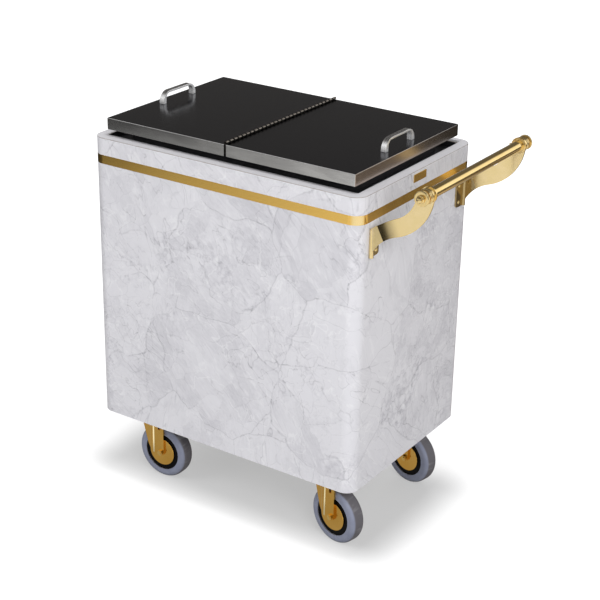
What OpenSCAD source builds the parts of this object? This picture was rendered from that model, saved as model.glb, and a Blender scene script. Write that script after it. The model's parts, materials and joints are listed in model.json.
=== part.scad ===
// Ice cart: an insulated ice tub in a marble-look case on four swivel casters,
// with a folding two-leaf lid and a brass push handle.
// Millimetres, +Z up, the floor at z = 0, the push handle at the +X end, the front long side at -Y.

/* [Case] */
// length of the case along X
body_length = 720; // [690:2:780]
// width of the case along Y
body_width = 486; // [476:2:540]
// height of the case walls
body_height = 698; // [640:2:760]
// clear height under the case
body_clearance = 172; // [170:1:190]
// radius of the four upright corners
corner_radius = 30; // [20:1:38]
// thickness of the end walls
end_wall = 24; // [18:0.5:28]
// thickness of the long walls
side_wall = 28.5; // [20:0.5:32]
// thickness of the bottom board and of the shelf under the tub
board = 18; // [12:1:24]

/* [Brass band and plaque] */
// distance from the top of the case down to the band
band_drop = 40.5; // [30:0.5:52]
// height of the band
band_height = 21; // [12:0.5:30]
// thickness of the band strip
band_thickness = 1.8; // [1.2:0.1:3]
// length of the bare plaque
plaque_length = 54; // [36:1:80]
// height of the bare plaque
plaque_height = 18; // [12:0.5:20]
// distance from the top of the case down to the plaque
plaque_drop = 7; // [4:0.5:9]

/* [Ice tub] */
// depth of the tub from its rim to its floor
tub_depth = 380; // [300:5:400]
// distance from the case opening to the neck of the tub
neck_inset = 30; // [24:1:40]
// radius of the upright corners of the tub
tub_radius = 28; // [16:1:45]
// sheet thickness of the tub
tub_sheet = 1.5; // [1:0.1:2]
// foam thickness under the tub
foam_below = 32; // [20:1:45]
// height of the drain rack above the tub floor
rack_height = 30; // [20:1:45]
// holes in the drain rack, along X
rack_rows_x = 13; // [7:2:17]
// holes in the drain rack, along Y
rack_rows_y = 7; // [3:2:9]

/* [Lids] */
// length of both lids together
lid_length = 663; // [640:1:670]
// width of the lids
lid_width = 441.5; // [430:0.5:460]
// height of the lid skirts
lid_height = 26.7; // [20:0.1:34]
// gap between the case top and the lid skirts
lid_lift = 15; // [11:0.5:20]
// sheet thickness of the lids
lid_sheet = 1.5; // [1:0.1:2]
// number of knuckles of the piano hinge
knuckles = 29; // [15:2:41]
// outer radius of the hinge knuckles
knuckle_radius = 3; // [2.4:0.1:3.6]

/* [Lid handles] */
// length of a lid handle
grip_length = 122; // [96:1:140]
// height of a lid handle
grip_height = 29; // [27:0.5:36]
// width of a lid handle
grip_width = 13; // [9:0.5:18]
// thickness of the level part of a handle
grip_thickness = 5; // [3:0.5:7]
// thickness of the legs of a handle at their feet
grip_foot = 11; // [6:0.5:14]
// outer corner radius of a lid handle
grip_corner = 26; // [16:1:26]
// distance from the outer lid edge to the middle of the handle
grip_inset = 30; // [20:1:60]

/* [Push handle] */
// distance from the case to the middle of the bar
bar_reach = 134; // [130:1:138]
// height of the bar above the case top
bar_rise = 27; // [24:1:30]
// radius of the bar
bar_radius = 11.8; // [10:0.1:13]
// distance from the side of the case to the outer face of a bracket arm
arm_inset = 36.2; // [34:0.2:56]
// thickness of the bracket sheet
arm_sheet = 4; // [3:0.5:5]
// width of the bracket flange on the wall
flange_width = 36; // [28:1:50]
// height of the bracket flange on the wall
flange_height = 63; // [56:1:70]
// distance from the case top down to the flange
flange_drop = 77; // [75:1:79]

/* [Casters] */
// radius of the wheels
wheel_radius = 69; // [64:0.5:71]
// width of the tyres
wheel_width = 38; // [30:1:42]
// radius of the round shoulders of the tyres
tyre_shoulder = 12; // [5:0.5:14]
// inner radius of the tyre ring
core_radius = 48; // [44:0.5:52]
// radius of the brass discs beside the wheels
guard_radius = 35.5; // [28:0.5:40]
// how far the axle trails behind the swivel axis
trail = 34; // [28:1:38]
// distance from the case end to the swivel axis
caster_inset_x = 105; // [96:1:130]
// distance from the case side to the swivel axis
caster_inset_y = 74.5; // [72:0.5:95]
// heading of the two casters at the plain end, in degrees
turn_left = 2; // [-90:1:90]
// heading of the two casters at the handle end, in degrees
turn_right = -12; // [-90:1:90]
// radius of the axle bolts
axle_radius = 5; // [4:0.5:6]

/* [Drain] */
// outer radius of the drain pipe
pipe_radius = 11; // [9:0.5:13]
// length of the valve lever
lever_length = 88; // [60:1:95]

/* [Hidden] */
$fn = 96;
// running clearance of pins in their bores, and the gap kept between moving pieces
fit = 0.05;
gap = 0.3;
body_top = body_clearance + body_height;
inner_l = body_length - 2 * end_wall;
inner_w = body_width - 2 * side_wall;
rim_sheet = 1.2;
// how far the band stands out of its groove
proud = 0.3;
groove = band_thickness - proud;
// the neck, the tub and the seal, from the case top up to the lids
lid_bottom = body_top + lid_lift;
lid_top = lid_bottom + lid_height;
seal_height = 3;
seal_top = lid_bottom - gap;
flange_top = seal_top - seal_height;
neck_top = flange_top - tub_sheet;
ledge_drop = 14;
ledge_top = body_top - ledge_drop;
ledge_sheet = 4;
neck_wall = 5;
tub_l = inner_l - 2 * neck_inset - 2 * neck_wall;
tub_w = inner_w - 2 * neck_inset - 2 * neck_wall;
tub_floor = flange_top - tub_depth;
tub_under = tub_floor - tub_sheet;
shelf_top = tub_under - foam_below;
shelf_under = shelf_top - board;
cleat = 30;
rack_l = tub_l - 2 * tub_sheet - 8;
rack_w = tub_w - 2 * tub_sheet - 8;
// the lids meet at the hinge, whose pin lies just above their top faces
seam = 1.5;
half_lid = lid_length / 2;
pin_radius = 1.25;
pin_z = lid_top + knuckle_radius + gap;
leaf = 1.2;
pitch = (lid_width - 1) / knuckles;
grip_x = half_lid - grip_inset;
// the push handle
bar_x = body_length / 2 + bar_reach;
bar_z = body_top + bar_rise;
arm_y = body_width / 2 - arm_inset;
flange_top_z = body_top - flange_drop;
ring_radius = bar_radius + 6.2;
// the circles that shape the arms: x from the wall, z from the flange top, radius
low_hollow = [96.4, -98, 100.5];
low_full = [30.5, 111.7, 119.2];
high_full = [205, -267, 336.2];
high_hollow = [35.3, 107, 74.4];
arm_join = 66.2;
// the casters
swivel_x = body_length / 2 - caster_inset_x;
swivel_y = body_width / 2 - caster_inset_y;
core_face = wheel_width / 2 - 2.5;
guard_in = core_face + 1.2;
guard_sheet = 2;
leg_in = wheel_width / 2 + 1;
leg_sheet = 5;
leg_out = leg_in + leg_sheet;
leg_back = 9;
rib_rise = 1.2;
crown_z = 2 * wheel_radius + 7;
plate_z = body_clearance - 4;
race_z = body_clearance - 14;
// the drain
drain_z = body_clearance - 18;
valve_z = body_clearance - 48;
spigot_r = 9.5;
// the frame stands on the floor under the middle of the whole outline, handle included
frame_x = -(bar_x + ring_radius - body_length / 2 - proud) / 2;

marble = [0.86, 0.86, 0.88];
brass = [0.79, 0.62, 0.30];
pale_brass = [0.88, 0.78, 0.52];
steel = [0.72, 0.72, 0.73];
black = [0.05, 0.05, 0.055];
lid_black = [0.17, 0.17, 0.175];
rubber = [0.44, 0.46, 0.54];
foam = [0.90, 0.86, 0.70];
wood = [0.72, 0.58, 0.42];

// Shared shapes

// a rectangle centred on the origin with round corners
module rounded(l, w, r) {
  square([l - 2 * r, w], center = true);
  square([l, w - 2 * r], center = true);
  for (x = [-1, 1], y = [-1, 1])
    translate([x * (l / 2 - r), y * (w / 2 - r)])
      circle(r);
}

// a circle given by its centre and radius in one list
module disc(c) {
  translate([c[0], c[1]])
    circle(r = c[2]);
}

// puts a piece in the shared frame
module placed() {
  translate([frame_x, 0, 0])
    children();
}

// a cylinder along Y between two distances
module bar_y(r, y0, y1, sides = 96) {
  translate([0, y0, 0])
    rotate([-90, 0, 0])
      cylinder(r = r, h = y1 - y0, $fn = sides);
}

// Case

// four walls with round upright corners, open at the top and bottom, grooved for the band
module body_shell() {
  color(marble)
    placed()
      difference() {
        translate([0, 0, body_clearance])
          linear_extrude(body_height - rim_sheet)
            difference() {
              rounded(body_length, body_width, corner_radius);
              square([inner_l, inner_w], center = true);
            }
        translate([0, 0, body_top - band_drop - band_height])
          linear_extrude(band_height)
            difference() {
              square([body_length + 40, body_width + 40], center = true);
              rounded(body_length - 2 * groove, body_width - 2 * groove, corner_radius - groove);
            }
      }
}

// thin top facing of the walls
module top_rim() {
  color([0.76, 0.76, 0.78])
    placed()
      translate([0, 0, body_top - rim_sheet])
        linear_extrude(rim_sheet)
          difference() {
            rounded(body_length, body_width, corner_radius);
            square([inner_l, inner_w], center = true);
          }
}

// strip laid in the groove all the way round
module brass_band() {
  color(brass)
    placed()
      translate([0, 0, body_top - band_drop - band_height])
        linear_extrude(band_height)
          difference() {
            rounded(body_length + 2 * proud, body_width + 2 * proud, corner_radius + proud);
            rounded(body_length - 2 * groove, body_width - 2 * groove, corner_radius - groove);
          }
}

// bare plate above the band on the handle end
module plaque() {
  color(brass)
    placed()
      translate([body_length / 2, 0, body_top - plaque_drop - plaque_height / 2])
        rotate([90, 0, 90])
          linear_extrude(1.5)
            rounded(plaque_length, plaque_height, 2);
}

// bottom board between the walls, with the hole for the drain pipe
module base_panel() {
  color(wood)
    placed()
      difference() {
        translate([-inner_l / 2, -inner_w / 2, body_clearance])
          cube([inner_l, inner_w, board]);
        translate([0, 0, body_clearance - 1])
          cylinder(r = pipe_radius, h = board + 2);
      }
}

// Tub, neck and insulation

// board that carries the foam and the tub
module shelf_panel() {
  color(wood)
    placed()
      difference() {
        translate([-inner_l / 2, -inner_w / 2, shelf_under])
          cube([inner_l, inner_w, board]);
        translate([0, 0, shelf_under - 1])
          cylinder(r = pipe_radius + 3, h = board + 2);
      }
}

// battens on the long walls under the shelf
module shelf_cleats() {
  color(wood)
    placed()
      for (s = [-1, 1])
        translate([-inner_l / 2 + 20, s > 0 ? inner_w / 2 - cleat : -inner_w / 2, shelf_under - cleat])
          cube([inner_l - 40, cleat, cleat]);
}

// foam between the case walls and the tub
module insulation() {
  color(foam)
    placed()
      difference() {
        translate([-inner_l / 2, -inner_w / 2, shelf_top])
          cube([inner_l, inner_w, ledge_top - ledge_sheet - shelf_top]);
        translate([0, 0, tub_under])
          linear_extrude(tub_depth + 60)
            rounded(tub_l, tub_w, tub_radius);
        translate([0, 0, shelf_top - 1])
          cylinder(r = pipe_radius + 3, h = foam_below + 3);
      }
}

// black collar: a sunken ledge round the opening and an upstand that carries the lids
module neck_frame() {
  color(black)
    placed()
      difference() {
        union() {
          translate([-inner_l / 2, -inner_w / 2, ledge_top - ledge_sheet])
            cube([inner_l, inner_w, ledge_sheet]);
          translate([0, 0, ledge_top - ledge_sheet])
            linear_extrude(neck_top - ledge_top + ledge_sheet)
              rounded(tub_l + 2 * neck_wall, tub_w + 2 * neck_wall, tub_radius + neck_wall);
        }
        translate([0, 0, ledge_top - ledge_sheet - 1])
          linear_extrude(ledge_drop + 60)
            rounded(tub_l, tub_w, tub_radius);
      }
}

// stainless liner with an outturned rim and a drain hole in its floor
module ice_tub() {
  color(steel)
    placed()
      difference() {
        union() {
          translate([0, 0, tub_under])
            linear_extrude(flange_top - tub_under)
              rounded(tub_l, tub_w, tub_radius);
          translate([0, 0, neck_top])
            linear_extrude(tub_sheet)
              rounded(tub_l + 2 * neck_wall, tub_w + 2 * neck_wall, tub_radius + neck_wall);
        }
        translate([0, 0, tub_floor])
          linear_extrude(tub_depth + 1)
            rounded(tub_l - 2 * tub_sheet, tub_w - 2 * tub_sheet, tub_radius - tub_sheet);
        translate([0, 0, tub_under - 1])
          cylinder(r = pipe_radius + 3, h = tub_sheet + 2);
      }
}

// soft strip on the tub rim that the lids rest on
module lid_seal() {
  color(black)
    placed()
      translate([0, 0, flange_top])
        linear_extrude(seal_height)
          difference() {
            rounded(tub_l + 2 * neck_wall, tub_w + 2 * neck_wall, tub_radius + neck_wall);
            rounded(tub_l - 2 * tub_sheet, tub_w - 2 * tub_sheet, tub_radius - tub_sheet);
          }
}

// lift-out perforated tray that keeps the ice above the melt water
module drain_rack() {
  color(steel)
    placed()
      difference() {
        translate([0, 0, tub_floor])
          linear_extrude(rack_height)
            rounded(rack_l, rack_w, tub_radius - 4);
        translate([0, 0, tub_floor - 1])
          linear_extrude(rack_height - 0.5)
            rounded(rack_l - 3, rack_w - 3, tub_radius - 5.5);
        for (i = [0:rack_rows_x - 1], j = [0:rack_rows_y - 1])
          translate([
            (i - (rack_rows_x - 1) / 2) * (rack_l - 70) / (rack_rows_x - 1),
            (j - (rack_rows_y - 1) / 2) * (rack_w - 70) / (rack_rows_y - 1),
            tub_floor + rack_height - 6
          ])
            cylinder(r = 5, h = 12, $fn = 32);
      }
}

// Drain

// flanged strainer seat in the tub floor with a threaded tail
module drain_fitting() {
  color(steel)
    placed()
      difference() {
        union() {
          translate([0, 0, tub_under - 14])
            cylinder(r = pipe_radius + 3, h = 14 + tub_sheet);
          translate([0, 0, tub_floor])
            cylinder(r = pipe_radius + 13, h = 2);
        }
        translate([0, 0, tub_under - 20])
          cylinder(r = pipe_radius - 3, h = 60);
      }
}

// pipe from the tub down through both boards
module drain_pipe() {
  color(steel)
    placed()
      difference() {
        translate([0, 0, drain_z])
          cylinder(r = pipe_radius, h = tub_under - 14 - drain_z);
        translate([0, 0, drain_z - 1])
          cylinder(r = pipe_radius - 3, h = tub_under - drain_z + 2);
      }
}

// ball valve under the case with its outlet pointing down and its stem to the back
module valve_body() {
  color(brass)
    placed() {
      difference() {
        union() {
          translate([0, 0, valve_z - 15])
            cylinder(r = 17, h = 30);
          translate([0, 0, valve_z + 15])
            cylinder(r = 16, h = drain_z - valve_z - 15 + 10, $fn = 6);
          translate([0, 0, valve_z - 27])
            cylinder(r = 16, h = 12, $fn = 6);
          translate([0, 0, valve_z - 52])
            cylinder(r = spigot_r, h = 25);
          translate([0, 0, valve_z])
            bar_y(8, 0, 23);
          translate([0, 0, valve_z])
            bar_y(4, 23, 33);
          translate([0, 0, valve_z])
            bar_y(7, 26 + 2 * gap, 31, 6);
        }
        translate([0, 0, drain_z])
          cylinder(r = pipe_radius, h = 12);
        translate([0, 0, valve_z - 53])
          cylinder(r = pipe_radius - 4.5, h = 40);
      }
    }
}

// lever of the valve, closed when it lies level
module valve_lever() {
  color([0.25, 0.25, 0.27])
    placed()
      translate([0, 23 + gap, valve_z])
        rotate([-90, 0, 0])
          linear_extrude(3)
            difference() {
              union() {
                circle(9);
                translate([-lever_length + 7, -7])
                  square([lever_length - 7, 14]);
                translate([-lever_length + 7, 0])
                  circle(7);
              }
              circle(4 + fit);
            }
}

// Push handle

// side view of an arm, drawn with x along X and y along Z, measured from the wall
// and the flange top: two opposed bends that leave the flange and rise to the bar
module arm_outline() {
  end = [bar_reach, bar_rise + flange_drop];
  // wall end: full above, hollow below
  difference() {
    intersection() {
      translate([arm_sheet, -flange_height])
        square([arm_join - arm_sheet + 0.1, flange_height + 60]);
      disc(high_full);
    }
    disc(low_hollow);
  }
  // outer end: hollow above, full below, turned up to the bar
  difference() {
    intersection() {
      translate([arm_join, -20])
        square([100, end[1] + 20]);
      disc(low_full);
    }
    disc(high_hollow);
  }
  translate(end)
    circle(bar_radius + 4);
}

// the slanting fold near the wall, from its upper to its lower end, and its angle
fold_top = [20, 12];
fold_low = [35, -17];
fold_lean = atan2(fold_low[0] - fold_top[0], fold_top[1] - fold_low[1]);
fold_turn = 2.5;

// an arm with its flange, for the front side; the back one is its mirror image
module bracket() {
  placed()
    translate([body_length / 2, -arm_y, flange_top_z]) {
      // arm plate, dressed thinner towards the wall from the slanting fold on
      difference() {
        translate([0, arm_sheet, 0])
          rotate([90, 0, 0])
            linear_extrude(arm_sheet)
              arm_outline();
        for (s = [0, 1])
          translate([fold_top[0], s * arm_sheet, fold_top[1]])
            rotate([0, -fold_lean, 0])
              rotate([0, 0, s == 0 ? -fold_turn : fold_turn])
                translate([-60, s == 0 ? -20 : 0, -120])
                  cube([60, 20, 240]);
      }
      // round bend between arm and flange
      translate([arm_sheet + 1, arm_sheet + 1, -flange_height])
        cylinder(r = arm_sheet + 1, h = flange_height);
      // flange on the wall, with two round corners
      translate([0, arm_sheet + 1, -flange_height])
        rotate([90, 0, 90])
          linear_extrude(arm_sheet)
            difference() {
              union() {
                square([flange_width - 12, flange_height]);
                translate([0, 8])
                  square([flange_width - 4, flange_height - 16]);
                translate([flange_width - 12, 8])
                  circle(8);
                translate([flange_width - 12, flange_height - 8])
                  circle(8);
              }
              for (z = [12, flange_height - 12])
                translate([flange_width - 16, z])
                  circle(2.6);
            }
    }
}

module bracket_front() {
  color(pale_brass)
    bracket();
}

module bracket_back() {
  color(pale_brass)
    mirror([0, 1, 0])
      bracket();
}

// round-head screws that hold the flanges
module bracket_screws() {
  color(pale_brass)
    placed()
      for (s = [-1, 1], z = [12, flange_height - 12])
        translate([
          body_length / 2,
          s * (arm_y - arm_sheet - 1 - flange_width + 16),
          flange_top_z - flange_height + z
        ])
          rotate([0, 90, 0]) {
            translate([0, 0, arm_sheet])
              cylinder(r1 = 4.6, r2 = 3, h = 2);
            cylinder(r = 2.6, h = arm_sheet);
          }
}

// round tube between the arms
module push_bar() {
  color(pale_brass)
    placed()
      translate([bar_x, 0, bar_z])
        difference() {
          bar_y(bar_radius, -arm_y + arm_sheet, arm_y - arm_sheet);
          bar_y(bar_radius - 1.5, -arm_y, arm_y);
        }
}

// stepped collars on the bar, inside the arms
module bar_collars() {
  color(pale_brass)
    placed()
      for (s = [-1, 1])
        translate([bar_x, s * (arm_y - arm_sheet), bar_z])
          rotate([s > 0 ? 90 : -90, 0, 0])
            rotate_extrude()
              difference() {
                union() {
                  square([ring_radius, 3]);
                  square([ring_radius - 3, 6.5]);
                  translate([ring_radius - 3, 3])
                    circle(1.5, $fn = 24);
                }
                translate([-1, -3])
                  square([bar_radius + 1, 20]);
              }
}

// turned ends outside the arms: two beads, a hollow, a disc, a small bead and a ball
module bar_finials() {
  rim = ring_radius - 1.2;
  bead = 3;
  color(pale_brass)
    placed()
      for (s = [-1, 1])
        translate([bar_x, s * arm_y, bar_z])
          rotate([s > 0 ? -90 : 90, 0, 0])
            rotate_extrude()
              intersection() {
                union() {
                  square([rim - bead, 15]);
                  translate([rim - bead, 6])
                    circle(bead, $fn = 48);
                  translate([rim - bead - 0.6, 12])
                    circle(bead, $fn = 48);
                  difference() {
                    square([rim - 1.3, 21]);
                    translate([rim - 1.3, 21])
                      circle(5.5, $fn = 48);
                  }
                  square([rim - 6.8, 26]);
                  translate([0, 24])
                    square([rim - 2, 4]);
                  translate([rim - 2, 26])
                    circle(2, $fn = 32);
                  translate([0, 27.2])
                    square([rim - 10.3, 5]);
                  translate([rim - 10.3, 29.7])
                    circle(2.5, $fn = 32);
                  square([5, 34]);
                  translate([0, 35])
                    circle(7, $fn = 48);
                }
                square([60, 60]);
              }
}

// Lids

// folded sheet tray, open below; side is -1 for the left lid and 1 for the right one
module lid_shell(side) {
  color(lid_black)
    placed()
      difference() {
        translate([side > 0 ? seam : -half_lid, -lid_width / 2, lid_bottom])
          cube([half_lid - seam, lid_width, lid_height]);
        translate([
          side > 0 ? seam + lid_sheet : -half_lid + lid_sheet,
          -lid_width / 2 + lid_sheet,
          lid_bottom - 1
        ])
          cube([
            half_lid - seam - 2 * lid_sheet,
            lid_width - 2 * lid_sheet,
            lid_height + 1 - lid_sheet
          ]);
      }
}

// foam filling of a lid
module lid_core(side) {
  color(foam)
    placed()
      translate([
        side > 0 ? seam + lid_sheet : -half_lid + lid_sheet,
        -lid_width / 2 + lid_sheet,
        lid_bottom + lid_sheet
      ])
        cube([
          half_lid - seam - 2 * lid_sheet,
          lid_width - 2 * lid_sheet,
          lid_height - 2 * lid_sheet
        ]);
}

// flat sheet that closes a lid from below
module lid_liner(side) {
  color(steel)
    placed()
      translate([
        side > 0 ? seam + lid_sheet : -half_lid + lid_sheet,
        -lid_width / 2 + lid_sheet,
        lid_bottom
      ])
        cube([half_lid - seam - 2 * lid_sheet, lid_width - 2 * lid_sheet, lid_sheet]);
}

// wide U standing on the lid, with legs that grow thicker towards their feet
module lid_handle(side) {
  color(steel)
    placed()
      translate([side * grip_x - grip_width / 2, 0, lid_top])
        rotate([90, 0, 90])
          linear_extrude(grip_width)
            intersection() {
              difference() {
                rounded(grip_length, 2 * grip_height, grip_corner);
                rounded(grip_length - 2 * grip_foot, 2 * (grip_height - grip_thickness),
                  grip_corner / 2);
              }
              translate([-grip_length, 0])
                square([2 * grip_length, 2 * grip_height]);
            }
}

// one leaf of the piano hinge: a strip in the seam and every second knuckle above it
module hinge_leaf(side) {
  first = side > 0 ? 1 : 0;
  color([0.42, 0.38, 0.34])
    placed()
      difference() {
        union() {
          translate([side > 0 ? seam - leaf : -seam, -lid_width / 2 + 0.5, lid_bottom + 5])
            cube([leaf, lid_width - 1, lid_height - 5]);
          for (i = [first:2:knuckles - 1])
            translate([0, -lid_width / 2 + 0.5 + i * pitch, 0]) {
              translate([0, 0, pin_z])
                bar_y(knuckle_radius, gap, pitch - gap, 32);
              translate([side > 0 ? seam - leaf : -seam, gap, lid_top - 1])
                cube([leaf, pitch - 2 * gap, pin_z - lid_top + 1]);
            }
        }
        translate([0, 0, pin_z])
          bar_y(pin_radius + fit, -lid_width / 2 - 1, lid_width / 2 + 1, 32);
      }
}

module lid_left_shell() {
  lid_shell(-1);
}

module lid_left_core() {
  lid_core(-1);
}

module lid_left_liner() {
  lid_liner(-1);
}

module lid_left_handle() {
  lid_handle(-1);
}

module lid_left_hinge() {
  hinge_leaf(-1);
}

module lid_right_shell() {
  lid_shell(1);
}

module lid_right_core() {
  lid_core(1);
}

module lid_right_liner() {
  lid_liner(1);
}

module lid_right_handle() {
  lid_handle(1);
}

module lid_right_hinge() {
  hinge_leaf(1);
}

// wire through all the knuckles
module hinge_pin() {
  color(steel)
    placed()
      translate([0, 0, pin_z])
        bar_y(pin_radius, -lid_width / 2, lid_width / 2, 32);
}

// Casters

// puts a piece that is drawn about the swivel axis, with the wheel towards +X, under the case
module at_caster(sx, sy) {
  placed()
    translate([sx * swivel_x, sy * swivel_y, 0])
      rotate([0, 0, sx < 0 ? turn_left : turn_right])
        children();
}

// mounting plate with the upper race, fixed under the bottom board
module caster_plate(sx, sy) {
  color(pale_brass)
    placed()
      translate([sx * swivel_x, sy * swivel_y, 0])
        difference() {
          union() {
            translate([0, 0, plate_z])
              linear_extrude(4)
                rounded(92, 68, 6);
            translate([0, 0, race_z])
              cylinder(r = 25, h = 12);
          }
          translate([0, 0, race_z - 1])
            cylinder(r = 6 + fit, h = 20);
          for (x = [-1, 1], y = [-1, 1])
            translate([x * 37, y * 25, plate_z - 1])
              cylinder(r = 4, h = 6);
        }
}

// side view of a fork leg, measured from the axle: upright behind, rounded at the axle,
// a wide round heel in front, and a straight slope up to the crown under the swivel axis
module leg_outline() {
  top = crown_z + 5 - wheel_radius;
  nose = [-trail - 24, top];
  heel = [0, 32];
  heel_radius = heel[1] + leg_back;
  away = nose - heel;
  turn = atan2(away[1], away[0]) + acos(heel_radius / norm(away));
  touch = heel + heel_radius * [cos(turn), sin(turn)];
  difference() {
    union() {
      circle(leg_back);
      translate([-1, 0])
        square([leg_back + 1, top]);
      intersection() {
        translate(heel)
          circle(heel_radius);
        translate([-heel_radius, -heel_radius])
          square([heel_radius + 1, heel_radius + touch[1]]);
      }
      polygon([[1, 0], [1, top], nose, touch]);
    }
    translate([-7.2, 62])
      square([7.2, 14]);
  }
}

// plan of the leg at -Y: flat behind, a raised rib, and from there drawn in towards the front edge
module leg_plan() {
  rib_x = trail - 24.3;
  rib_radius = 14;
  front = [rib_x - 36, 4.4 - leg_out];
  back = [2 * trail, -leg_out];
  polygon([front, [rib_x, -leg_out], back, [back[0], 0], [front[0], 0]]);
  translate([rib_x, rib_radius - leg_out - rib_rise])
    circle(rib_radius);
}

module fork_leg() {
  intersection() {
    translate([trail, -leg_in, wheel_radius])
      rotate([90, 0, 0])
        linear_extrude(leg_sheet + 2 * rib_rise)
          leg_outline();
    linear_extrude(body_clearance)
      leg_plan();
  }
}

// crown with the lower race and pivot, and two legs
module caster_fork(sx, sy) {
  color(brass)
    at_caster(sx, sy)
      difference() {
        union() {
          translate([-24, -leg_in, crown_z])
            cube([24 + trail + leg_back, 2 * leg_in, 5]);
          translate([0, 0, crown_z + 5])
            cylinder(r = 23, h = race_z - gap - crown_z - 5);
          translate([0, 0, race_z - gap - 1])
            cylinder(r = 6, h = 12 + gap);
          fork_leg();
          mirror([0, 1, 0])
            fork_leg();
        }
        translate([trail, 0, wheel_radius])
          bar_y(axle_radius, -leg_out - 5, leg_out + 5);
      }
}

// axle bolt with its hexagon head in front and its nut behind
module caster_axle(sx, sy) {
  color(brass)
    at_caster(sx, sy)
      translate([trail, 0, wheel_radius]) {
        bar_y(axle_radius, -leg_out, leg_out);
        bar_y(axle_radius + 2.5, -leg_out - 5, -leg_out, 6);
        bar_y(axle_radius - 1, -leg_out - 6.5, -leg_out - 5);
        bar_y(axle_radius + 2.5, leg_out, leg_out + 6, 6);
      }
}

// brass discs between the legs and the wheel, with a round rim and a boss that meets the leg
module caster_guards(sx, sy) {
  lip = guard_sheet / 2;
  color(brass)
    at_caster(sx, sy)
      translate([trail, 0, wheel_radius])
        for (s = [-1, 1])
          rotate([s > 0 ? -90 : 90, 0, 0])
            rotate_extrude()
              difference() {
                union() {
                  translate([0, guard_in])
                    square([guard_radius - lip, guard_sheet]);
                  translate([guard_radius - lip, guard_in + lip])
                    circle(lip, $fn = 24);
                  translate([0, guard_in])
                    square([leg_back, leg_in - guard_in]);
                }
                translate([-1, 0])
                  square([axle_radius + 1, leg_out]);
              }
}

// black wheel body turning on the axle
module caster_core(sx, sy) {
  color(black)
    at_caster(sx, sy)
      translate([trail, 0, wheel_radius])
        rotate([90, 0, 0])
          rotate_extrude()
            difference() {
              union() {
                translate([0, -core_face])
                  square([core_radius, 2 * core_face]);
                translate([0, gap - guard_in])
                  square([14, 2 * (guard_in - gap)]);
              }
              translate([-1, -wheel_width])
                square([axle_radius + fit + 1, 2 * wheel_width]);
            }
}

// rubber tyre with rounded shoulders
module caster_tyre(sx, sy) {
  color(rubber)
    at_caster(sx, sy)
      translate([trail, 0, wheel_radius])
        rotate([90, 0, 0])
          rotate_extrude()
            intersection() {
              rounded(2 * wheel_radius, wheel_width, tyre_shoulder);
              translate([core_radius, -wheel_width])
                square([wheel_radius, 2 * wheel_width]);
            }
}

module caster_fl_plate() {
  caster_plate(-1, -1);
}

module caster_fl_fork() {
  caster_fork(-1, -1);
}

module caster_fl_axle() {
  caster_axle(-1, -1);
}

module caster_fl_guards() {
  caster_guards(-1, -1);
}

module caster_fl_core() {
  caster_core(-1, -1);
}

module caster_fl_tyre() {
  caster_tyre(-1, -1);
}

module caster_fr_plate() {
  caster_plate(1, -1);
}

module caster_fr_fork() {
  caster_fork(1, -1);
}

module caster_fr_axle() {
  caster_axle(1, -1);
}

module caster_fr_guards() {
  caster_guards(1, -1);
}

module caster_fr_core() {
  caster_core(1, -1);
}

module caster_fr_tyre() {
  caster_tyre(1, -1);
}

module caster_bl_plate() {
  caster_plate(-1, 1);
}

module caster_bl_fork() {
  caster_fork(-1, 1);
}

module caster_bl_axle() {
  caster_axle(-1, 1);
}

module caster_bl_guards() {
  caster_guards(-1, 1);
}

module caster_bl_core() {
  caster_core(-1, 1);
}

module caster_bl_tyre() {
  caster_tyre(-1, 1);
}

module caster_br_plate() {
  caster_plate(1, 1);
}

module caster_br_fork() {
  caster_fork(1, 1);
}

module caster_br_axle() {
  caster_axle(1, 1);
}

module caster_br_guards() {
  caster_guards(1, 1);
}

module caster_br_core() {
  caster_core(1, 1);
}

module caster_br_tyre() {
  caster_tyre(1, 1);
}

// four bolts through each caster plate
module caster_bolts() {
  color(steel)
    placed()
      for (sx = [-1, 1], sy = [-1, 1], x = [-1, 1], y = [-1, 1])
        translate([sx * swivel_x + x * 37, sy * swivel_y + y * 25, 0]) {
          translate([0, 0, plate_z])
            cylinder(r = 4, h = 4);
          translate([0, 0, plate_z - 5])
            cylinder(r = 7, h = 5, $fn = 6);
        }
}

body_shell();
top_rim();
brass_band();
plaque();
base_panel();
shelf_panel();
shelf_cleats();
insulation();
neck_frame();
ice_tub();
lid_seal();
drain_rack();
drain_fitting();
drain_pipe();
valve_body();
valve_lever();
bracket_front();
bracket_back();
bracket_screws();
push_bar();
bar_collars();
bar_finials();
lid_left_shell();
lid_left_core();
lid_left_liner();
lid_left_handle();
lid_left_hinge();
hinge_pin();
lid_right_shell();
lid_right_core();
lid_right_liner();
lid_right_handle();
lid_right_hinge();
caster_fl_plate();
caster_fl_fork();
caster_fl_axle();
caster_fl_guards();
caster_fl_core();
caster_fl_tyre();
caster_fr_plate();
caster_fr_fork();
caster_fr_axle();
caster_fr_guards();
caster_fr_core();
caster_fr_tyre();
caster_bl_plate();
caster_bl_fork();
caster_bl_axle();
caster_bl_guards();
caster_bl_core();
caster_bl_tyre();
caster_br_plate();
caster_br_fork();
caster_br_axle();
caster_br_guards();
caster_br_core();
caster_br_tyre();
caster_bolts();
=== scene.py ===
# %% [markdown]
# An ice cart in a marble-look case
#
# The cart comes in as a imported model: every board, sheet, pin and wheel is there at its real
# size. This script gives those pieces their finishes, eases the edges that catch the light, and
# lights the cart like a product on a white sweep.

# %% Load the imported cart
import json
import math

import bmesh
import bpy
from mathutils import Matrix, Vector


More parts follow.
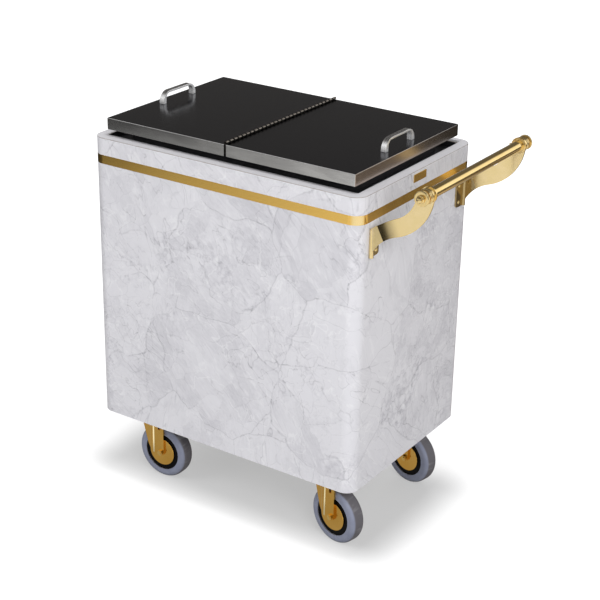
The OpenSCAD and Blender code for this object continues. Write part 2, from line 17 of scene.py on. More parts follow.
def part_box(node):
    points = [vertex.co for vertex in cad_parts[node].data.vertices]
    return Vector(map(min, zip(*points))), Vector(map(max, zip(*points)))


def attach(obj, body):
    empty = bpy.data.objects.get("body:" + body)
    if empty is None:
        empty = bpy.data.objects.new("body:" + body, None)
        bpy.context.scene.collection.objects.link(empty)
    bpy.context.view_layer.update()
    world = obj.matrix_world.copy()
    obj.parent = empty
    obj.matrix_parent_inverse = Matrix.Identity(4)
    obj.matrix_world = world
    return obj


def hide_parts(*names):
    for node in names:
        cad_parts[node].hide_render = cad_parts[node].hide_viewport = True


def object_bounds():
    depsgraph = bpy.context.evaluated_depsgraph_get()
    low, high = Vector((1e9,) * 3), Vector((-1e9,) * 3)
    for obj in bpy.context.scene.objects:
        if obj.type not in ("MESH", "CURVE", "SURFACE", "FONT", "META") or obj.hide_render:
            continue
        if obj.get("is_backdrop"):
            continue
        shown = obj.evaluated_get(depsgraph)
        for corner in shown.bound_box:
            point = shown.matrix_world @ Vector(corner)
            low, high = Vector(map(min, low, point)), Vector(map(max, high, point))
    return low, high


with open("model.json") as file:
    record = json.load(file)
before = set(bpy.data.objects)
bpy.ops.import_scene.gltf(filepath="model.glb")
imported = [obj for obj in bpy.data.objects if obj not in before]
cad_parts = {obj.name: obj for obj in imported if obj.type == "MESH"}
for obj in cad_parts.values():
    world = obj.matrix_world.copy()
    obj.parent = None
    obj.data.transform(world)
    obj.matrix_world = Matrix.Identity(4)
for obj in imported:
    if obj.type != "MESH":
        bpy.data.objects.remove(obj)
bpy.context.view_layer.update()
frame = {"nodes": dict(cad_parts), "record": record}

for draft in list(bpy.data.materials):
    bpy.data.materials.remove(draft)

# %% [markdown]
# Shader maths that reads like maths
#
# A material is a web of nodes, and a web is hard to read in code. A wire here is one output of
# a node. Adding or multiplying wires adds the Math node that does it, so a formula can be
# written as a formula. Vectors and colours go to Vector Math, since a Math node would turn
# them grey.


# %% Wires
class Wire:
    """One output of a shader node, for use in Python expressions."""

    def __init__(self, finish, socket):
        self.finish, self.socket = finish, socket

    def maths(self, operation, *terms):
        def is_vector(term):
            return isinstance(term, tuple) or (
                isinstance(term, Wire) and term.socket.type != "VALUE"
            )

        vectors = [term for term in terms if is_vector(term)]
        if not vectors:
            return self.finish.node(
                "ShaderNodeMath", {"operation": operation}, dict(enumerate(terms))
            )
        if operation == "MULTIPLY" and len(vectors) == 1:
            scale = next(term for term in terms if not is_vector(term))
            return self.finish.node(
                "ShaderNodeVectorMath", {"operation": "SCALE"}, {0: vectors[0], "Scale": scale}
            )
        spread = [t if isinstance(t, (tuple, Wire)) else (t, t, t) for t in terms]
        return self.finish.node(
            "ShaderNodeVectorMath", {"operation": operation}, dict(enumerate(spread))
        )

    def __add__(self, other):
        return self.maths("ADD", self, other)

    __radd__ = __add__

    def __sub__(self, other):
        return self.maths("SUBTRACT", self, other)

    def __rsub__(self, other):
        return self.maths("SUBTRACT", other, self)

    def __mul__(self, other):
        return self.maths("MULTIPLY", self, other)

    __rmul__ = __mul__

    def __truediv__(self, other):
        return self.maths("DIVIDE", self, other)

    def __rtruediv__(self, other):
        return self.maths("DIVIDE", other, self)

    def __pow__(self, other):
        return self.maths("POWER", self, other)

    def __rpow__(self, other):
        return self.maths("POWER", other, self)

    def __abs__(self):
        return self.maths("ABSOLUTE", self)


print("a wire adds, subtracts, multiplies, divides, raises and takes its size")

# %% [markdown]
# Finishes
#
# A finish is a material while its nodes are being laid out. One method adds any node: the
# settings come first, because some of them change which sockets the node has, and the values
# and wires for its sockets come after.


# %% Finishes
class Finish:
    """A material, or the world, while its nodes are being laid out."""

    def __init__(self, name, owner=None):
        self.material = owner or bpy.data.materials.new(name)
        self.material.use_nodes = True
        self.tree = self.material.node_tree
        self.tree.nodes.clear()

    def node(self, kind, settings=None, sockets=None, out=0):
        """Adds a node: its settings first, then values or wires for its sockets."""
        made = self.tree.nodes.new(kind)
        for name, value in (settings or {}).items():
            setattr(made, name, value)
        for name, value in (sockets or {}).items():
            socket = made.inputs[name]
            if isinstance(value, Wire):
                self.tree.links.new(value.socket, socket)
            elif socket.type == "RGBA" and len(value) == 3:
                socket.default_value = (*value, 1.0)
            else:
                socket.default_value = value
        return Wire(self, made.outputs[out]) if made.outputs else None


print("finishes can be laid out")

# %% [markdown]
# Places and directions on a piece
#
# Real finishes vary by place: a cloud, a scratch, a worn edge. The place and the direction are
# read from the piece's own coordinates, so a mark stays on the piece when a lid or a wheel
# turns.


# %% Places and directions
def place_on_piece(finish):
    """The point on the piece, in metres, in the cart's frame."""
    return finish.node("ShaderNodeTexCoord", out="Object")


def way_it_faces(finish):
    """The direction that the surface faces, along the same axes."""
    return finish.node("ShaderNodeTexCoord", out="Normal")


def split(finish, vector):
    """The three numbers of a vector."""
    return [
        finish.node("ShaderNodeSeparateXYZ", sockets={0: vector}, out=axis) for axis in "XYZ"
    ]


def stretch(finish, vector, factors):
    """The vector, scaled differently along each axis, for grain and brushing."""
    return finish.node(
        "ShaderNodeVectorMath", {"operation": "MULTIPLY"}, {0: vector, 1: factors}
    )


def dot(finish, first, second):
    """How far two directions agree: 1 when they are the same, 0 when they are square."""
    return finish.node(
        "ShaderNodeVectorMath", {"operation": "DOT_PRODUCT"}, {0: first, 1: second}, out="Value"
    )


def unit(finish, vector):
    """The direction of a vector, at length 1."""
    return finish.node("ShaderNodeVectorMath", {"operation": "NORMALIZE"}, {0: vector})


print("places and directions are ready")

# %% [markdown]
# Noise, steps and mixing
#
# Noise gives variation without a picture. An ease turns any number into a soft step, which is
# what nearly every mask is made of, and a blend mixes two colours by such a mask.


# %% Noise, steps and mixing
def noise(finish, at, scale, detail=4.0, roughness=0.5, out="Fac"):
    """Soft random value about 0.5."""
    return finish.node(
        "ShaderNodeTexNoise",
        sockets={"Vector": at, "Scale": scale, "Detail": detail, "Roughness": roughness},
        out=out,
    )


def ease(finish, value, low, high, to_low=0.0, to_high=1.0):
    """Maps low..high smoothly to to_low..to_high and holds beyond."""
    return finish.node(
        "ShaderNodeMapRange",
        {"interpolation_type": "SMOOTHSTEP"},
        {"Value": value, "From Min": low, "From Max": high, "To Min": to_low, "To Max": to_high},
    )


def outside(finish, value, span):
    """How far a value lies outside a span, and 0 inside it."""
    low, high = span
    off = abs(value - (low + high) / 2) - (high - low) / 2
    return finish.node("ShaderNodeMath", {"operation": "MAXIMUM"}, {0: off, 1: 0.0})


def blend(finish, amount, first, second):
    """Colour between first and second."""
    return finish.node(
        "ShaderNodeMix", {"data_type": "RGBA"}, {0: amount, 6: first, 7: second}, out=2
    )


def tinted(finish, colour, amount):
    """A colour times an amount."""
    return blend(finish, amount, (0.0, 0.0, 0.0), colour)


print("noise, steps and mixing are ready")

# %% [markdown]
# Relief, and the end of a finish
#
# Fine relief, such as brush lines or the skin of a laminate, is far too small for mesh, so a
# bump tilts the light instead. Every finish ends in the one surface shader and is filed under
# its name, which is how a piece finds it later.

# %% Relief and the surface shader
finishes = {}


def bump(finish, height, depth, strength):
    """Normal tilted by a height of depth metres."""
    return finish.node(
        "ShaderNodeBump", sockets={"Height": height, "Distance": depth, "Strength": strength}
    )


def close_finish(finish, **sockets):
    """Ends a finish in the surface shader, with sockets named as base_color, roughness..."""
    named = {name.replace("_", " ").title(): value for name, value in sockets.items()}
    named = {name.replace("Ior", "IOR"): value for name, value in named.items()}
    shader = finish.node("ShaderNodeBsdfPrincipled", sockets=named)
    finish.node("ShaderNodeOutputMaterial", sockets={"Surface": shader})
    finishes[finish.material.name] = finish.material
    return finish.material


print("finishes filed so far:", len(finishes))

# %% [markdown]
# The marble-look laminate
#
# The case is board faced with a printed laminate. The print is a pale breccia: large angular
# fragments of slightly different grey, each with its own faint hatching, held in a web of
# thin grey and white veins, with nests of small chips between them. A picture could be
# wrapped round the case, but then every wall would repeat it and the grain would stretch at
# the corners. Solid noise runs through the corners as stone would.

# %% Colours and sizes of the print
MARBLE_LIGHT = (0.790, 0.783, 0.820)
MARBLE_GREY = (0.500, 0.492, 0.535)
VEIN_GREY = (0.300, 0.292, 0.325)
VEIN_WHITE = (0.930, 0.928, 0.950)

# how many cells lie along a metre, from the large fragments down to the small chips
FRAGMENTS = 4.2
SHARDS = 17.0
SPLINTERS = 26.0
WEB = 36.0
CHIPS = 85.0
print("a fragment is about", round(1000 / FRAGMENTS), "mm, a chip", round(1000 / CHIPS), "mm")

# %% [markdown]
# Cells and thin lines
#
# Voronoi cells make the fragments. Their borders give straight cracks, and the place where a
# noise passes through its middle value gives a thin line that wanders.


# %% Cells and thin lines
def cells(finish, at, scale, feature="F1", out="Color"):
    """Random angular cells, scale of them to a metre."""
    return finish.node(
        "ShaderNodeTexVoronoi",
        {"feature": feature},
        {"Vector": at, "Scale": scale, "Randomness": 1.0},
        out=out,
    )


def border_line(finish, at, scale, width):
    """Line along the borders of the cells, width in metres each side."""
    edge = cells(finish, at, scale, "DISTANCE_TO_EDGE", "Distance")
    return 1.0 - ease(finish, edge, width * scale * 0.2, width * scale)


def ridge(finish, at, scale, width, detail=2.6):
    """Thin wandering line where a noise passes through its middle value."""
    wave = noise(finish, at, scale, detail, 0.5)
    return 1.0 - ease(finish, abs(wave - 0.5), 0.0, width)


def weigh(parts, weights):
    """Adds up the parts, each times the weight of the same name."""
    total = None
    for name, weight in weights.items():
        share = parts[name] * weight
        total = share if total is None else total + share
    return total


print("cells and lines are ready")

# %% [markdown]
# The places of the print
#
# All marks share one warped place, so that the edges of the fragments wander. Each fragment's
# random colour also serves as a direction: marks are drawn out along it, so the hatching turns
# from one fragment to the next.


# %% The warped place and the grain of each fragment
# how far each noise moves the place, in metres
DRIFT = 0.12
BEND = 0.040
CRUMPLE = 0.006
GRAIN_DRIFT = 0.05
GRAIN_BEND = 0.014
GRAIN_LEAN = (0.40, 0.40, -0.80)


class MarblePrint:
    """The wires that all steps of the marble print share."""

    def __init__(self, finish):
        self.finish = finish
        self.here = place_on_piece(finish)
        self.drift = noise(finish, self.here, 4.0, 3.0, 0.5, out="Color") - 0.5
        self.bend = noise(finish, self.here, 11.0, 2.5, 0.5, out="Color") - 0.5
        self.crumple = noise(finish, self.here, 18.0, 7.0, 0.68, out="Color") - 0.5
        moved = self.here + self.drift * DRIFT + self.bend * BEND
        self.there = moved + self.crumple * CRUMPLE
        self.cloud = noise(finish, self.here + self.drift * 0.08, 12.0, 7.0, 0.66)
        self.fragment = cells(finish, self.there, FRAGMENTS)
        self.grain = unit(finish, (self.fragment - 0.5) * 1.2 + GRAIN_LEAN)
        self.along = dot(finish, self.here, self.grain)

    def zone(self, shift, scale, low, high):
        """A soft patch where one kind of mark shows. shift gives each kind its own patches."""
        patches = noise(self.finish, self.here + shift, scale, 5.0, 0.6)
        return ease(self.finish, patches, low, high)

    def drawn_out(self, amount, wobble=0.003):
        """The place, squeezed along the grain of the fragment, so that marks grow long there."""
        bent = self.here + self.drift * GRAIN_DRIFT + self.bend * GRAIN_BEND
        bent = bent + self.crumple * wobble
        return bent + self.grain * (self.along * (amount - 1.0))


print("the largest drift moves a vein by up to", round(500 * DRIFT), "mm")

# %% [markdown]
# Light and dark of the ground
#
# The ground between the veins is not even. Fragments, shards and splinters differ in tone, the
# hatching and the clouds go across them, and the nests of chips lie along the borders of the
# fragments with darker gaps between the chips.

# %% Tones of the ground
TONE_WEIGHTS = {
    "fragments": 0.26,
    "shards": 0.19,
    "splinters": 0.18,
    "hatching": 0.66,
    "clouds": 0.48,
    "dapples": 0.30,
    "chips": 0.55,
    "chip_gaps": 0.30,
}
MEAN_TONE = 0.22
MEAN_CHIP = 0.85


def ground_tones(stone):
    """Each light and dark of the ground by name."""
    finish, there = stone.finish, stone.there
    tone, _, hatched = split(finish, stone.fragment)
    hatching = noise(finish, stone.drawn_out(0.07, 0.002), 160.0, 5.0, 0.68)
    splinters = cells(finish, stone.drawn_out(0.25, 0.020), SPLINTERS)
    border = cells(finish, there, FRAGMENTS, "DISTANCE_TO_EDGE", "Distance")
    nest = (1.0 - ease(finish, border, 0.02, 0.15)) * stone.zone(4.0, 6.0, 0.47, 0.58)
    crushed = stone.here + stone.drift * 0.05 + stone.crumple * 0.030
    chip_tone = split(finish, cells(finish, crushed, CHIPS))[0]
    chip_edge = cells(finish, crushed, CHIPS, out="Distance")
    return {
        "fragments": tone - 0.5,
        "shards": split(finish, cells(finish, there, SHARDS))[1] - 0.5,
        "splinters": split(finish, splinters)[0] - 0.5,
        "hatching": (hatching - 0.5) * (hatched * 0.8 + 0.4),
        "clouds": stone.cloud - 0.5,
        "dapples": noise(finish, there, 70.0, 5.0, 0.7) - 0.5,
        "chips": (chip_tone - MEAN_CHIP) * nest,
        "chip_gaps": ease(finish, chip_edge, 0.38, 0.72) * nest,
    }


print("kinds of tone:", len(TONE_WEIGHTS))

# %% [markdown]
# Grey veins
#
# The veins are of many kinds and none runs all over the case: each has zones where it shows.
# Seams and shard lines follow the cells, fissures and threads follow the grain of the
# fragment, and wanderers, scratches and hairs go their own way.

# %% Grey marks
MARK_WEIGHTS = {
    "seams": 0.46,
    "fissures": 0.50,
    "threads": 0.32,
    "shard_lines": 0.32,
    "web": 0.20,
    "wanderers": 0.48,
    "scratches": 0.28,
    "hairs": 0.16,
}


def grey_marks(stone):
    """Each kind of grey mark by name, from 0 to 1."""
    finish, there, zone = stone.finish, stone.there, stone.zone
    fissures = ridge(finish, stone.drawn_out(0.10), 24.0, 0.016, 2.0)
    threads = ridge(finish, stone.drawn_out(0.14) + 5.0, 60.0, 0.030, 2.0)
    return {
        "seams": border_line(finish, there, FRAGMENTS, 0.0024) * zone(8.0, 9.0, 0.36, 0.52),
        "fissures": fissures * zone(2.0, 7.0, 0.40, 0.54),
        "threads": threads * zone(9.0, 9.0, 0.42, 0.60),
        "shard_lines": border_line(finish, there, SHARDS, 0.0017) * zone(6.0, 7.0, 0.44, 0.58),
        "web": border_line(finish, there, WEB, 0.0013) * zone(11.0, 9.0, 0.50, 0.62),
        "wanderers": ridge(finish, there + 1.7, 5.0, 0.0042) * zone(5.0, 8.0, 0.42, 0.60),
        "scratches": ridge(finish, there + 4.3, 13.0, 0.008) * zone(6.5, 10.0, 0.44, 0.60),
        "hairs": ridge(finish, there + 2.9, 30.0, 0.013, 4.0) * zone(3.5, 10.0, 0.46, 0.60),
    }


print("kinds of vein:", len(MARK_WEIGHTS))

# %% [markdown]
# The print put together
#
# The order is that of the stone: the ground first, then the pale veins and streaks that soften
# it, and the grey veins over all.


# %% Colour of the print
def marble_colour(stone):
    finish = stone.finish
    tone = weigh(ground_tones(stone), TONE_WEIGHTS) + MEAN_TONE
    ground = blend(finish, ease(finish, tone, 0.0, 1.0), MARBLE_LIGHT, MARBLE_GREY)
    pale = ridge(finish, stone.there + 9.1, 9.0, 0.012, 4.0) * stone.zone(7.0, 8.0, 0.40, 0.58)
    streaks = noise(finish, stone.drawn_out(0.10) + 3.0, 60.0, 4.0, 0.6)
    light = pale * 0.45 + ease(finish, streaks, 0.56, 0.70) * 0.35
    ground = blend(finish, light, ground, VEIN_WHITE)
    grey = weigh(grey_marks(stone), MARK_WEIGHTS)
    return blend(finish, ease(finish, grey, 0.0, 1.3) * 0.75, ground, VEIN_GREY)


def laminate(name, colour_of):
    """A laminate whose colour is worked out by colour_of. Its skin is nearly smooth."""
    finish = Finish(name)
    stone = MarblePrint(finish)
    skin = noise(finish, stone.here, 900.0, 2.0, 0.5)
    return close_finish(
        finish,
        base_color=colour_of(stone),
        roughness=0.42 + (stone.cloud - 0.5) * 0.10,
        normal=bump(finish, skin, 0.00002, 0.5),
        ior=1.45,
    )


print("the print can be laid")

# %% [markdown]
# The case and its rim
#
# Inside the opening the walls of the case are painted black, as painted shade under the lids. They
# are one piece with the outside, so the colour is chosen by place: inside the box of the neck
# frame it turns black. The strip on the top edge is the same laminate, with its top painted greyer
# as painted shade, and its cut edge shows brown.

# %% Case and rim
OPENING_PAINTED_SHADE = (0.010, 0.010, 0.011)
OPENING_EDGE = (0.001, 0.002, 1.0, 0.0)
RIM_SHADE_GREY = (0.27, 0.265, 0.275)
CUT_EDGE_BROWN = (0.34, 0.30, 0.27)
RIM_TOP_SHADE = 0.86


def case_colour(stone):
    finish = stone.finish
    x, y, _ = split(finish, stone.here)
    low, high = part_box("neck_frame")
    beside = outside(finish, x, (low[0], high[0]))
    across = outside(finish, y, (-high[1], high[1]))
    # painted shade: inside the opening the walls are painted black, for the shadow under the lids
    inside = ease(finish, beside, *OPENING_EDGE) * ease(finish, across, *OPENING_EDGE)
    return blend(finish, inside, marble_colour(stone), OPENING_PAINTED_SHADE)


def rim_colour(stone):
    finish = stone.finish
    up = split(finish, way_it_faces(finish))[2]
    # painted shade: the up-facing top of the rim is blended towards grey
    top = blend(finish, RIM_TOP_SHADE, marble_colour(stone), RIM_SHADE_GREY)
    return blend(finish, ease(finish, up, 0.3, 0.7), CUT_EDGE_BROWN, top)


laminate("marble_laminate", case_colour)
laminate("rim_laminate", rim_colour)
print("laminates:", sorted(finishes))

# %% [markdown]
# Metals
#
# Three families of metal show. The push handle and casters are polished brass, the band is satin
# brass, and the lids and their handles are brushed steel. All are one idea: a metal colour, a
# cloudy roughness for handling marks, and very fine lines along the direction that the brush ran.
# Long thin noise does the brushing: it is stretched along the brush. Where a strip is bent, a
# painted highlight gives the bend a paler colour.


# %% Brushed and polished metal
def metal(name, colour, dark, roughness, brush=None, mottle=0.06, satin=0.0, painted_glint=None):
    """A metal of two close colours. brush is how fine the lines are along X, Y and Z.

    satin is the share of the light that the surface scatters. glint, a painted highlight, is a
    paler colour, the heading in degrees that it faces, and two steps of how closely the surface
    faces there.
    """
    finish = Finish(name)
    here = place_on_piece(finish)
    cloud = noise(finish, here, 14.0, 5.0, 0.6)
    shade = ease(finish, cloud, 0.3, 0.7)
    rough = roughness + (cloud - 0.5) * mottle * 2.0
    if brush:
        height = noise(finish, stretch(finish, here, brush), 1.0, 3.0, 0.65)
        shade = shade * 0.5 + ease(finish, height, 0.3, 0.7) * 0.5
        rough = rough + (height - 0.5) * mottle
    else:
        height = noise(finish, here, 420.0, 2.0, 0.5)
    mixed = blend(finish, shade, dark, colour)
    # painted highlight: the colour turns paler where the surface faces the given heading
    if painted_glint:
        pale, heading, start, full = painted_glint
        angle = math.radians(heading)
        toward = dot(finish, way_it_faces(finish), (math.cos(angle), math.sin(angle), 0.0))
        mixed = blend(finish, ease(finish, abs(toward), start, full), mixed, pale)
    return close_finish(
        finish,
        base_color=mixed,
        metallic=1.0 - satin,
        roughness=rough,
        normal=bump(finish, height, 0.00001, 0.6),
    )


print("metals are ready")

# %% [markdown]
# Brass of the band, the bar and the casters
#
# The brass on the cart isn't all the same: the strip of the band is brushed and deep yellow,
# the bar and its turned ends are polished and paler, and the bolts of the casters are deeper
# again. The polished ones differ only in colour and gloss, so a loop makes them.

# %% Brass
# the band's rounded corner gets a painted highlight, paler where it faces the front right
metal(
    "satin_brass",
    colour=(0.92, 0.61, 0.165),
    dark=(0.84, 0.53, 0.13),
    roughness=0.20,
    brush=(14.0, 14.0, 900.0),
    painted_glint=((0.95, 0.74, 0.36), -45.0, 0.80, 0.97),
)
for name, colour, dark, roughness in (
    ("polished_brass", (0.87, 0.70, 0.36), (0.83, 0.65, 0.31), 0.15),
    ("bar_brass", (0.89, 0.67, 0.30), (0.84, 0.61, 0.25), 0.16),
    ("turned_brass", (0.90, 0.70, 0.34), (0.85, 0.64, 0.29), 0.21),
    ("bolt_brass", (0.92, 0.66, 0.24), (0.84, 0.56, 0.17), 0.20),
):
    metal(name, colour, dark, roughness, mottle=0.02)
metal("valve_brass", colour=(0.72, 0.52, 0.22), dark=(0.64, 0.44, 0.17), roughness=0.32)
print("brass finishes:", [name for name in finishes if "brass" in name])

# %% [markdown]
# Forks of the casters
#
# Each fork is pressed from sheet with an upright rib, and one flank of the rib gets a painted
# highlight stripe. The casters stand at two headings, so the stripe's finish comes in two: one for
# the plain end of the cart and one for the handle end.

# %% Caster brass, plain and for the forks
PLATED_BRASS = {
    "colour": (0.88, 0.53, 0.13),
    "dark": (0.79, 0.45, 0.09),
    "roughness": 0.16,
    "mottle": 0.03,
}
# the ways that the cheeks of the forks face, in degrees from +X
CHEEK_HEADINGS = {"l": -88.0, "r": -102.0}
RIB_FLANK = 18.0

metal("caster_brass", **PLATED_BRASS)
for end, heading in CHEEK_HEADINGS.items():
    # painted highlight: one flank of the rib is painted pale
    rib_highlight = ((1.0, 0.86, 0.52), heading + RIB_FLANK, 0.987, 0.993)
    metal("fork_brass_" + end, **PLATED_BRASS, painted_glint=rib_highlight)
print("rib flanks face", [heading + RIB_FLANK for heading in CHEEK_HEADINGS.values()])

# %% [markdown]
# Brass of the arms
#
# The arms of the push handle are cut from sheet. At the slanting fold near the wall the sheet
# leans back a little, and past the fold it keeps a slight twist from the press, which runs out
# over a few centimetres. Polished metal shows such small turns strongly, so the finish leans the
# normal of the flat solid towards the sky by the angles that the sheet has there. Beside the fold
# the brass is painted dull brown as painted shade.

# %% The fold of an arm
TAB_LEAN = 0.075
FOLD_LEAN = 0.170
TWIST_LENGTH = 0.058
ARM_LOW, ARM_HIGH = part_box("bracket_front")
FLANGE_PAST_SCREWS = 0.0074
FLANGE_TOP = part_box("bracket_screws")[1][2] + FLANGE_PAST_SCREWS
# where the fold meets the top of the flange, from the wall, and how far it leans per metre down
FOLD_FROM_WALL, FOLD_SLANT = 0.0262, 0.517


def past_the_fold(x, z):
    """Distance past the slanting fold, where the twist runs out at 1."""
    fold = (FLANGE_TOP - z) * FOLD_SLANT + (ARM_LOW[0] + FOLD_FROM_WALL)
    return (x - fold) / TWIST_LENGTH


print("the fold starts", 1000 * FOLD_FROM_WALL, "mm from the wall")

# %% [markdown]
# Leaning the brass
#
# The lean is added to the normal of the flat solid, and the sum goes back to length 1. Before the
# fold the lean is the same all over. Past it, the lean starts larger and runs out in a straight
# line, as a twist does. The front arm is clean at the wall and has painted shade just past its
# fold. The back arm is opened a little sideways, and it has painted shade at the wall.


# %% Brass of the arms
OPEN_START, OPEN_END = 0.055, 0.025
CLEAN_BRASS = ((0.84, 0.67, 0.34), (0.88, 0.71, 0.39))
FOLD_SHADE_BROWN = (0.16, 0.09, 0.02)


def arm_brass(name, splay, tab_shade, fold_shade):
    """Bent sheet brass. splay opens the arm sideways past the fold, and the two shares paint shade
    on it, on the tab and past the fold.
    """
    finish = Finish(name)
    here = place_on_piece(finish)
    x, _, z = split(finish, here)
    past = past_the_fold(x, z)
    beyond = ease(finish, past, -0.01, 0.01)
    run_out = finish.node(
        "ShaderNodeMapRange",
        sockets={"Value": past, "From Min": 0.0, "From Max": 1.0, "To Min": 1.0, "To Max": 0.0},
    )
    lean = beyond * run_out * FOLD_LEAN + (1.0 - beyond) * TAB_LEAN
    end = ARM_HIGH[0]
    straight = ease(finish, x, end - OPEN_START, end - OPEN_END, 1.0, 0.35)
    turn = finish.node(
        "ShaderNodeCombineXYZ", sockets={"X": beyond * straight * splay, "Z": lean}
    )
    flat = finish.node("ShaderNodeNewGeometry", out="Normal")
    cloud = noise(finish, here, 30.0, 4.0, 0.6)
    clean = blend(finish, ease(finish, cloud, 0.3, 0.7), *CLEAN_BRASS)
    # painted shade: dark brown on the tab, and past the fold fading out with the twist
    shade_share = beyond * run_out * run_out * fold_shade + (1.0 - beyond) * tab_shade
    return close_finish(
        finish,
        base_color=blend(finish, shade_share, clean, FOLD_SHADE_BROWN),
        metallic=1.0,
        roughness=0.15 + (cloud - 0.5) * 0.04,
        normal=unit(finish, flat + turn),
    )


arm_brass("arm_brass_front", splay=0.0, tab_shade=0.0, fold_shade=0.62)
arm_brass("arm_brass_back", splay=0.22, tab_shade=0.55, fold_shade=0.20)
print("arms:", [name for name in finishes if name.startswith("arm")])

# %% [markdown]
# Steel of the tub and the bolts
#
# The tub, its rack and drain, and the liners of the lids are plain brushed steel. It scatters
# about a third of the light, so the inside of the tub looks grey and not like a mirror. The
# bolts are smoother.

# %% Tub and bolt steel
metal(
    "tub_steel", (0.70, 0.70, 0.71), (0.61, 0.61, 0.62), 0.34, brush=(20.0, 20.0, 700.0), satin=0.3
)
metal("bolt_steel", (0.70, 0.70, 0.71), (0.60, 0.60, 0.61), 0.28)
print("steels:", [name for name in finishes if "steel" in name])

# %% [markdown]
# Handles of the lids
#
# The handles are flat bar, brushed along their length. Their upright sides look satin and are
# painted brighter as painted light, and the side that faces up mirrors the dark studio and is
# painted darker as painted shade, so the colour and the share of scattered light go by the way the
# surface faces.


# %% Handle steel
HANDLE_SIDE_PAINTED_LIGHT = ((0.78, 0.78, 0.79), (0.93, 0.93, 0.93))
HANDLE_TOP_PAINTED_SHADE = ((0.52, 0.52, 0.52), (0.70, 0.70, 0.70))


def handle_steel():
    finish = Finish("brushed_steel")
    here = place_on_piece(finish)
    flat = ease(finish, split(finish, way_it_faces(finish))[2], 0.30, 0.85)
    lines = noise(finish, stretch(finish, here, (900.0, 30.0, 30.0)), 1.0, 3.0, 0.65)
    # painted light and shade: the upright sides get the brighter colour, the side that faces up
    # the darker one
    side = blend(finish, lines, *HANDLE_SIDE_PAINTED_LIGHT)
    top = blend(finish, lines, *HANDLE_TOP_PAINTED_SHADE)
    return close_finish(
        finish,
        base_color=blend(finish, flat, side, top),
        metallic=0.66 + flat * 0.34,
        roughness=0.27 + (lines - 0.5) * 0.10,
        normal=bump(finish, lines, 0.00001, 0.6),
    )


print("handles:", handle_steel().name)

# %% [markdown]
# The piano hinge
#
# The solids have the knuckles, but at this size they are drawn in painted light and shade: the top
# of each knuckle is painted bright, its sides dark, and the gap to the next is painted black as
# painted shade. The count of the knuckles divides the length of the hinge, and the distance from
# the middle of a knuckle makes the mask.

# %% Hinge steel
HINGE_KNUCKLES = 29
KNUCKLE_TOP_HIGHLIGHT = ((0.36, 0.32, 0.28), (0.66, 0.60, 0.53))
KNUCKLE_SIDE_SHADE = (0.07, 0.063, 0.056)
KNUCKLE_GAP_SHADE = (0.03, 0.027, 0.024)


def hinge_steel():
    finish = Finish("hinge_steel")
    here = place_on_piece(finish)
    low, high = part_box("lid_left_hinge")[0][1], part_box("lid_right_hinge")[1][1]
    knuckle = (split(finish, here)[1] - low) / ((high - low) / HINGE_KNUCKLES)
    along = finish.node("ShaderNodeMath", {"operation": "FRACT"}, {0: knuckle})
    # painted light and shade: the gap between knuckles is painted black, their sides dark and
    # their tops bright
    gap = ease(finish, abs(along - 0.5), 0.24, 0.38)
    cloud = noise(finish, here, 160.0, 4.0, 0.6)
    lit_top = blend(finish, cloud, *KNUCKLE_TOP_HIGHLIGHT)
    up = ease(finish, split(finish, way_it_faces(finish))[2], 0.20, 0.75)
    lit_and_shaded = blend(finish, up, KNUCKLE_SIDE_SHADE, lit_top)
    return close_finish(
        finish,
        base_color=blend(finish, gap, lit_and_shaded, KNUCKLE_GAP_SHADE),
        metallic=1.0,
        roughness=0.34 + gap * 0.25,
        normal=bump(finish, cloud, 0.00003, 0.6),
    )


print("hinge:", hinge_steel().name, "with", HINGE_KNUCKLES, "knuckles")

# %% [markdown]
# Lids
#
# Each lid is one brushed steel tray. Its top is painted near black as painted shade, its folded
# skirts are plain bright steel, and the rounded fold between them gets a painted highlight. The
# skirt at the handle end has painted shade, brown and darker towards the back, and between the two
# lids no light comes in, so the gap is painted black as painted shade. One material does all: it
# looks at which way the surface faces on the piece, and where it is.

# %% Colours of the lids
SKIRT_STEEL = ((0.46, 0.46, 0.455), (0.68, 0.68, 0.67))
END_SKIRT_PAINTED_SHADE = ((0.50, 0.42, 0.36), (0.15, 0.135, 0.12))
TOP_PAINTED_SHADE = ((0.0175, 0.0185, 0.0255), (0.0255, 0.0265, 0.0360))
EDGE_PAINTED_HIGHLIGHT = (0.95, 0.95, 0.95)
LIDS_GAP_PAINTED_SHADE = (0.004, 0.004, 0.004)
FOLD_LINE = (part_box("lid_left_shell")[1][0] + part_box("lid_right_shell")[0][0]) / 2
print("the lids meet at x =", round(FOLD_LINE, 4))

# %% [markdown]
# The steel of a lid
#
# How far the surface faces up tells the top from the skirts, with the rounded fold between.
# How far it faces along X tells the skirt at the handle end from the long ones. The brush ran
# across the top and along the skirts, so each has its own fine lines.


